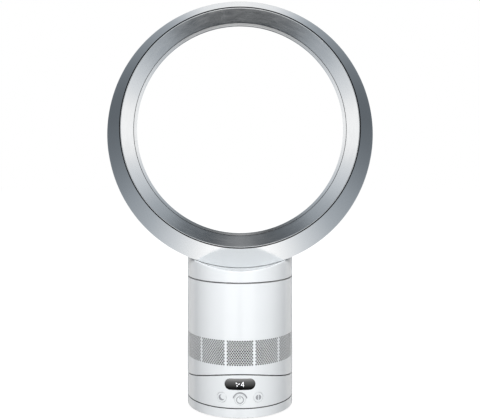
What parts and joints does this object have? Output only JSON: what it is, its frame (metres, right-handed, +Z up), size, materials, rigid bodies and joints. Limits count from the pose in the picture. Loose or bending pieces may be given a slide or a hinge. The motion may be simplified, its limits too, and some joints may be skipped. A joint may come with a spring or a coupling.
{
  "type": "bladeless fan",
  "caption": "Bladeless desk fan: a round perforated motor body with touch controls blows air forward through a slot in a large hollow ring; the body swings and tilts.",
  "frame": {"origin": "centre of the round foot, on the surface that the rubber pads stand on", "axes": "+Z up through the body's axis, the front with the controls faces -Y, +X is to the right seen from the front"},
  "size_m": [0.357, 0.146, 0.552],
  "materials": {
    "white_shell": "glossy white moulded plastic",
    "silver_ring": "silver metallic coat, semi-gloss",
    "rubber": "matte black rubber",
    "steel": "plain machined steel",
    "grey_plastic": "moulded grey engineering plastic",
    "dark_plastic": "smoked black, polished",
    "circuit_board": "green solder mask",
    "copper": "enamelled copper winding",
    "foam": "open-cell grey foam"
  },
  "bodies": {
    "foot": {"foot_shell": "white_shell", "base_plate": "steel", "glide_ring": "grey_plastic", "fixed_gear": "grey_plastic", "post_clip": "steel", "power_inlet": "dark_plastic", "foot_pad_1": "rubber", "foot_pad_2": "rubber", "foot_pad_3": "rubber", "foot_pad_4": "rubber", "base_screw_1": "steel", "base_screw_2": "steel", "base_screw_3": "steel"},
    "control_body": {"turntable": "grey_plastic", "control_casing": "white_shell", "tilt_cradle": "grey_plastic", "glide_strip_left": "grey_plastic", "glide_strip_right": "grey_plastic", "swing_motor": "steel", "display_lens": "dark_plastic", "display_module": "grey_plastic", "control_board": "circuit_board", "power_board": "circuit_board", "ir_receiver": "dark_plastic", "status_light": "grey_plastic", "power_switch": "dark_plastic", "sleep_switch": "dark_plastic", "swing_switch": "dark_plastic"},
    "swing_pinion_body": {"swing_pinion": "grey_plastic"},
    "power_button_body": {"power_button": "white_shell"},
    "sleep_button_body": {"sleep_button": "white_shell"},
    "swing_button_body": {"swing_button": "white_shell"},
    "fan_head": {"main_casing": "white_shell", "tilt_plate": "grey_plastic", "tilt_hook_left": "steel", "tilt_hook_right": "steel", "silencer_foam": "foam", "isolator_ring": "rubber", "impeller_housing": "grey_plastic", "bellmouth": "grey_plastic", "motor_stator": "copper", "lower_bearing": "steel", "upper_bearing": "steel", "motor_bucket_lower": "grey_plastic", "motor_bucket_upper": "grey_plastic", "diffuser": "grey_plastic", "outlet_sleeve": "rubber", "body_top_ring": "grey_plastic", "nozzle_gasket": "rubber", "nozzle_spigot": "grey_plastic", "neck": "white_shell", "riser_duct": "grey_plastic", "ring_outer_casing": "silver_ring", "ring_inner_casing": "silver_ring", "lip_seal": "rubber"},
    "impeller_body": {"impeller": "grey_plastic", "motor_rotor": "steel"}
  },
  "joints": [
    {"name": "swing", "type": "hinge", "parent": "foot", "child": "control_body", "pos_m": [0, 0, 0.0135], "axis": [0, 0, 1], "range_deg": [-45, 45]},
    {"name": "pinion_spin", "type": "hinge", "parent": "control_body", "child": "swing_pinion_body", "pos_m": [0, 0.03, 0.0204], "axis": [0, 0, 1], "range_deg": [-140, 140]},
    {"name": "tilt", "type": "hinge", "parent": "control_body", "child": "fan_head", "pos_m": [0, 0, 0.238], "axis": [1, 0, 0], "range_deg": [-10, 10]},
    {"name": "impeller_spin", "type": "hinge", "parent": "fan_head", "child": "impeller_body", "pos_m": [0, 0, 0.105], "axis": [0, 0, 1], "continuous": true},
    {"name": "power_press", "type": "slide", "parent": "control_body", "child": "power_button_body", "axis": [0, 1, 0], "range_m": [0, 0.0008], "stiffness_N_per_m": 1200, "springref_m": -0.0002},
    {"name": "sleep_press", "type": "slide", "parent": "control_body", "child": "sleep_button_body", "axis": [0.3338, 0.9426, 0], "range_m": [0, 0.0008], "stiffness_N_per_m": 1200, "springref_m": -0.0002},
    {"name": "swing_press", "type": "slide", "parent": "control_body", "child": "swing_button_body", "axis": [-0.3338, 0.9426, 0], "range_m": [0, 0.0008], "stiffness_N_per_m": 1200, "springref_m": -0.0002}
  ],
  "couplings": [
    {"joint": "pinion_spin", "follows": "swing", "ratio": 3}
  ]
}
